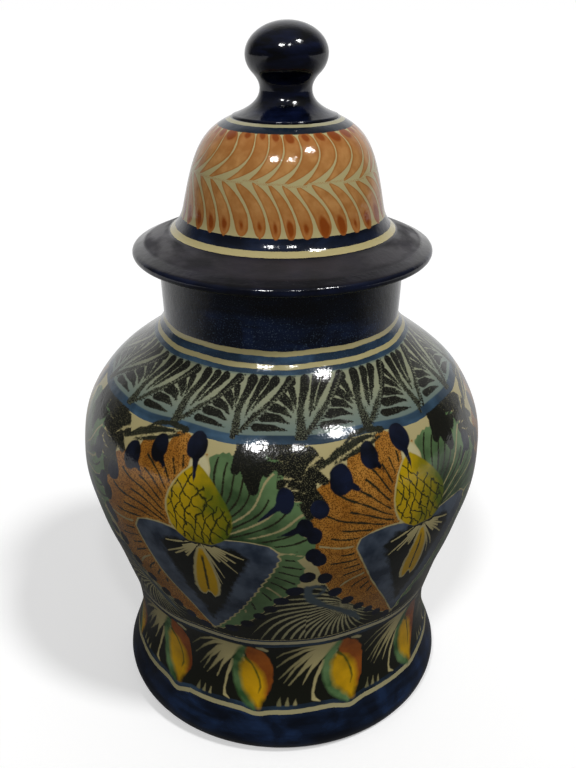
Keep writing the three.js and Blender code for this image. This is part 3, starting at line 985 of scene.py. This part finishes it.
def lid_colours(tree, where):
    """Navy rings and a rust garland over a cream tin glaze"""
    count, along, is_lower = parts_of(tree, "stroke")
    climb = parts_of(tree, "spot")[1]
    wander = add(tree, "TexNoise", {"Vector": where, "Scale": 300.0, "Detail": 2.0})
    edge = add(tree, "Math", (wander, 0.8, -0.4), "MULTIPLY_ADD")
    level = add(tree, "Math", (edge, 0.5, climb), "MULTIPLY_ADD")
    colour = brushed_bands(tree, where, level, LID_BANDS, 280.0)[0]

    aside = line_distance(tree, count, 1.0)
    lower_wide = add(tree, "FloatCurve", {1: along}, shape=LOWER_STROKE)
    upper_wide = add(tree, "FloatCurve", {1: along}, shape=UPPER_STROKE)
    wide = add(tree, "Mix", {0: is_lower, 2: upper_wide, 3: lower_wide})
    drawn = add(tree, "Math", (aside, wide), "SUBTRACT")
    drawn = add(tree, "Math", (edge, 0.08, drawn), "MULTIPLY_ADD")
    # The brush was wetter at its start: a darker wash, and a rust spot in the head of each stroke
    pools = add(tree, "TexNoise", {"Vector": where, "Scale": 190.0, "Detail": 2.0})
    wash = blended(tree, add(tree, "MapRange", (pools, 0.35, 0.65, 0.0, 1.0)), "#a56f39", "#bb884f")
    wash = blended(tree, add(tree, "MapRange", (along, 0.4, 1.0, 0.0, 0.6)), wash, "#99561f")
    wash = blended(tree, add(tree, "MapRange", (drawn, -0.14, -0.02, 0.0, 0.7)), wash, "#94581f")
    head = add(tree, "Mix", {0: is_lower, 2: 0.92, 3: 0.8})
    slim = add(tree, "Mix", {0: is_lower, 2: 2.4, 3: 1.3})
    apart = add(tree, "Math", (along, head), "SUBTRACT")
    apart = add(tree, "Math", (apart, slim), "MULTIPLY")
    apart = add(tree, "CombineXYZ", (apart, aside))
    apart = add(tree, "VectorMath", (apart,), "LENGTH").outputs["Value"]
    size = add(tree, "Math", (chance_of(tree, count), 0.2, 0.16), "MULTIPLY_ADD")
    size = add(tree, "Math", (is_lower, -0.07, size), "MULTIPLY_ADD")
    spot = add(tree, "Math", (apart, size), "SUBTRACT")
    stroke = coat_over(tree, wash, spot, "#86400f", 0.06, ((edge, 0.16),))
    # A tenth brings the belt's millimetres near the strokes' pitches
    belt = add(tree, "Math", (within(tree, climb, 49.1, 22.8), 0.1), "MULTIPLY")
    colour = coat_over(tree, colour, drawn, stroke, 0.02, (), ((belt, 0.0),))

    # The brim's upper side fired matt in streaks; its edge stayed glossy. Along the streaks its colour is lifted
    # to a paler purplish grey: partly dry scuffs, partly a painted sheen of the room that the glaze mirrors
    # there.
    streaks = streaked(tree, where, 5.0, 45.0, 4.0)
    on_brim = within(tree, climb, 11.0, 6.0)
    dull = add(tree, "MapRange", (streaks, 0.42, 0.6, 0.4, 0.68))
    roughness = add(tree, "MapRange", (on_brim, -0.5, 1.5, dull, 0.1))
    # Painted sheen with dry scuffs: a paler purplish grey along the streaks of the brim's upper side
    scuffs_and_sheen = add(tree, "MapRange", (streaks, 0.44, 0.66, 0.5, 0.0))
    scuffs_and_sheen = add(tree, "MapRange", (on_brim, -2.5, 1.0, scuffs_and_sheen, 0.0))
    return blended(tree, scuffs_and_sheen, colour, "#373338"), roughness


def knob_colours(tree, where):
    """Deep cobalt glaze, nearly black where it is thick"""
    cloud = streaked(tree, where, 4.0, 70.0, 4.0, 0.6)
    cloud = add(tree, "MapRange", (cloud, 0.38, 0.66, 0.0, 1.0))
    return blended(tree, cloud, "#010206", "#0c132c"), GLOSSY


def throwing(azimuth, climb):
    """Slow swells of a quarter of a millimetre that the potter's fingers leave, none where the lid sits"""
    soft = np.interp(climb, (0, 12, 60, 215, 240, 262), (0, 0, 1, 1, 0.2, 0))
    return soft * (0.14 + 0.14 * np.sin(climb / 4.6 + azimuth + 0.6 * np.sin(3 * azimuth)))


# The jar
points, start, end = jar_outline()
row_climb = climb_of(points, start)
jar, turn, climb, face_turn = spun("painted_jar", points, row_climb, JAR_SIDES, hand=throwing)
painted_jar(jar, turn, climb, face_turn)
keep_bake_map(jar, turn, climb, (row_climb[0], 0, row_climb[end], row_climb[-1]), (0.01, 0.05, 0.9, 0.99))
jar.data.materials.append(glazed("painted_tin_glaze", jar_colours))
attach(jar, "jar")
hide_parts("jar_body")

# The lid
points, start = lid_outline()
row_climb = climb_of(points, start)
lid, turn, climb = spun("painted_lid", points, row_climb, LID_SIDES, lean=LID_LEAN, shift=LID_SHIFT)[:3]
painted_lid(lid, turn, climb)
keep_bake_map(lid, turn, climb, (row_climb[0], 0, row_climb[-1]), (0.01, 0.3, 0.99))
lid.data.materials.append(glazed("garland_tin_glaze", lid_colours))
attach(lid, "lid")
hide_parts("lid_shell")

# The knob
points = knob_outline()
row_climb = climb_of(points)
knob, turn, climb = spun("turned_knob", points, row_climb, KNOB_SIDES, lean=LID_LEAN, shift=LID_SHIFT)[:3]
keep_bake_map(knob, turn, climb, (0, KNOB_RIM, row_climb[-1]), (0.01, 0.1, 0.99))
knob.data.materials.append(glazed("navy_glaze", knob_colours))
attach(knob, "lid")
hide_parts("lid_knob")


def seen_share(tree, behind):
    """How much of the pale background a ray sees: all of it from the camera, and a share of it in the
    glaze, where it lies behind the jar"""
    path = add(tree, "LightPath").outputs
    mirrored = add(tree, "Math", (path["Is Glossy Ray"], path["Is Transmission Ray"]), "MAXIMUM")
    mirrored = add(tree, "Math", (mirrored, behind), "MULTIPLY")
    mirrored = add(tree, "Math", (mirrored, MIRRORED_SHARE), "MULTIPLY")
    return add(tree, "Math", (path["Is Camera Ray"], mirrored), "MAXIMUM")


# Floor: plain and pale; to other surfaces it gives back less light than a white room's floor would
HALF_FLOOR = 8.0
sheet = bpy.data.meshes.new("floor")
corners = [(x * HALF_FLOOR, y * HALF_FLOOR, 0) for x, y in ((-1, -1), (1, -1), (1, 1), (-1, 1))]
sheet.from_pydata(corners, [], [(0, 1, 2, 3)])
floor = linked("floor", sheet)
paper = bpy.data.materials.new("white_paper")
tree = cleared(paper)
sideways, backwards, upwards = add(tree, "SeparateXYZ", (add(tree, "TexCoord").outputs["Object"],)).outputs
aside = add(tree, "Math", (sideways,), "ABSOLUTE")
beyond = add(tree, "Math", (aside, 0.8, backwards), "MULTIPLY_ADD")
beyond = add(tree, "Math", (sideways, -0.15, beyond), "MULTIPLY_ADD")
behind = add(tree, "MapRange", (beyond, 0.1, 0.9, 0.0, 1.0), interpolation_type="SMOOTHSTEP")
seen = seen_share(tree, behind)
matt = add(tree, "BsdfDiffuse", (blended(tree, seen, "#585858", "#e6e6e6"),))
glow = add(tree, "Emission", ("#ffffff", add(tree, "Math", (seen, 0.28), "MULTIPLY")))
add(tree, "OutputMaterial", (add(tree, "AddShader", (matt, glow)),))
sheet.materials.append(paper)

# World: a room that is pale behind the jar and dim in front of it; the background shows white
world = bpy.data.worlds.new("room")
bpy.context.scene.world = world
tree = cleared(world)
sideways, backwards, upwards = add(tree, "SeparateXYZ", (add(tree, "TexCoord").outputs["Generated"],)).outputs
behind = add(tree, "MapRange", (backwards, 0.35, 0.95, 0.0, 1.0), interpolation_type="SMOOTHSTEP")
above = add(tree, "MapRange", (upwards, 0.3, 1.0, 0.08, 0.22), interpolation_type="SMOOTHSTEP")
room = add(tree, "Mix", {0: behind, 2: above, 3: 0.7})
strength = add(tree, "Mix", {0: seen_share(tree, behind), 2: room, 3: 1.0})
add(tree, "OutputWorld", (add(tree, "Background", ("#ffffff", strength)),))

# Ceiling lamps, as far light: azimuth from the front, elevation and width in degrees, and strength
LAMPS = (
    ("ceiling_left", -17.6, 48.3, 7, 1.05),
    ("ceiling_middle", 12.4, 48.6, 4.5, 0.3),
    ("ceiling_right", 52.0, 58.0, 8, 1.45),
)
for name, azimuth, elevation, width, strength in LAMPS:
    light = bpy.data.lights.new(name, "SUN")
    light.angle = math.radians(width)
    light.energy = strength
    linked(name, light).rotation_euler = (math.radians(90 - elevation), 0, math.radians(azimuth))

# Camera
camera_data = bpy.data.cameras.new("camera")
camera_data.lens = LENS
camera_data.sensor_width = SENSOR
camera = linked("camera", camera_data)
camera.location = (CAMERA_RIGHT * MM, -CAMERA_BACK * MM, CAMERA_UP * MM)
camera.rotation_euler = (math.radians(90 - CAMERA_DOWN), 0, 0)
bpy.context.scene.camera = camera

bpy.context.scene.view_settings.view_transform = "Standard"
